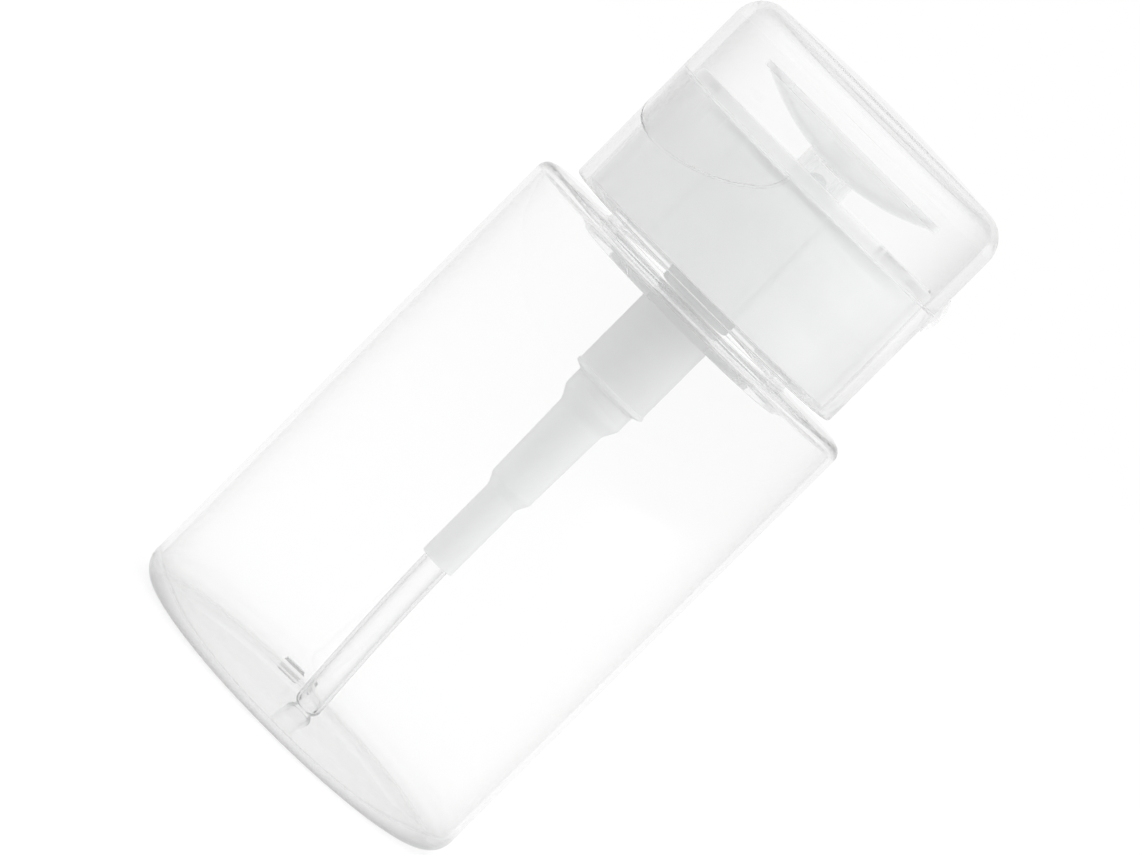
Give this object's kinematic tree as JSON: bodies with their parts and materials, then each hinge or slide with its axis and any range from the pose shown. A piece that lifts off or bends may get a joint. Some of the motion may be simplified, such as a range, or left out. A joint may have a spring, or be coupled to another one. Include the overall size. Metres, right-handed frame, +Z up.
{
  "type": "pump bottle",
  "caption": "Clear cylindrical bottle with a push-down dish pump, threaded closure, clear skirt and clear flip lid.",
  "frame": {"origin": "centre of the base, on the surface that the bottle stands on", "axes": "+Z up along the bottle's axis, -Y towards the lid's thumb tab, +Y towards the lid's hinge"},
  "size_m": [0.052, 0.052, 0.1065],
  "materials": {
    "clear_bottle": "clear, polished",
    "clear_cap": "clear, polished",
    "white_plastic": "translucent white, satin",
    "seal_plastic": "soft satin",
    "clear_tube": "clear, slightly milky",
    "valve_glass": "clear",
    "spring_steel": "drawn wire"
  },
  "bodies": {
    "bottle": {"bottle": "clear_bottle"},
    "pump": {"neck_gasket": "seal_plastic", "pump_housing": "white_plastic", "ball_stop": "white_plastic", "dip_tube": "clear_tube", "stem_guide": "white_plastic", "stem_seal": "seal_plastic", "return_spring": "spring_steel"},
    "inlet_ball": {"inlet_ball": "valve_glass"},
    "plunger": {"press_dish": "white_plastic", "outlet_hub": "white_plastic", "pump_stem": "white_plastic", "piston": "seal_plastic", "piston_rod": "white_plastic"},
    "outlet_ball": {"outlet_ball": "valve_glass"},
    "closure": {"threaded_collar": "white_plastic", "deck_shell": "white_plastic", "outer_skirt": "clear_cap", "hinge_strap": "clear_cap"},
    "lid": {"flip_lid": "clear_cap"}
  },
  "joints": [
    {"name": "pump_lift", "type": "slide", "parent": "bottle", "child": "pump", "axis": [0, 0, 1], "range_m": [0, 0.00634]},
    {"name": "closure_turn", "type": "hinge", "parent": "pump", "child": "closure", "pos_m": [0, 0, 0.08], "axis": [0, 0, 1], "range_deg": [0, 540]},
    {"name": "lid_hinge", "type": "hinge", "parent": "closure", "child": "lid", "pos_m": [0, 0.0226, 0.0919], "axis": [-1, 0, 0], "range_deg": [0, 150], "deforming": ["hinge_strap"]},
    {"name": "dish_press", "type": "slide", "parent": "pump", "child": "plunger", "axis": [0, 0, -1], "range_m": [0, 0.0036], "stiffness_N_per_m": 200, "springref_m": -0.0085, "deforming": ["return_spring"]},
    {"name": "inlet_ball_lift", "type": "slide", "parent": "pump", "child": "inlet_ball", "axis": [0, 0, 1], "range_m": [0, 0.0012]},
    {"name": "outlet_ball_lift", "type": "slide", "parent": "plunger", "child": "outlet_ball", "axis": [0, 0, 1], "range_m": [0, 0.0007]}
  ],
  "couplings": [
    {"joint": "closure_turn", "follows": "pump_lift", "rad_per_m": 1485.4}
  ]
}
